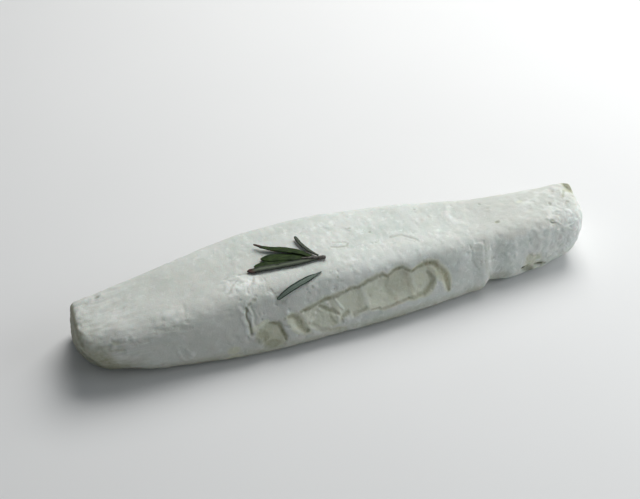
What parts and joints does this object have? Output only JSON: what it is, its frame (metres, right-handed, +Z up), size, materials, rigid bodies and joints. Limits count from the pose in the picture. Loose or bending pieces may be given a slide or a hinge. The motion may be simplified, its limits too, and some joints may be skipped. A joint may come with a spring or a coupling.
{
  "type": "goat cheese",
  "caption": "Soft goat cheese log with a white mould rind, wide in the middle and narrow at its ends, lying on its flat underside and dressed with rosemary",
  "frame": {"origin": "centre of the part's box, on the plane that its flat underside rests on", "axes": "+X along the log to its right end, +Y to its plain back, +Z up; the worn front faces -Y"},
  "size_m": [0.2392, 0.0576, 0.0312],
  "materials": {
    "rind_white": "matt, dry white mould rind with a few worn olive-cream patches",
    "sprig_green": "dark green needles, dull with a faint sheen",
    "needle_green": "grey-green felted underside"
  },
  "bodies": {
    "root": {"cheese": "rind_white", "rosemary_sprig": "sprig_green", "rosemary_needle": "needle_green"}
  },
  "joints": []
}
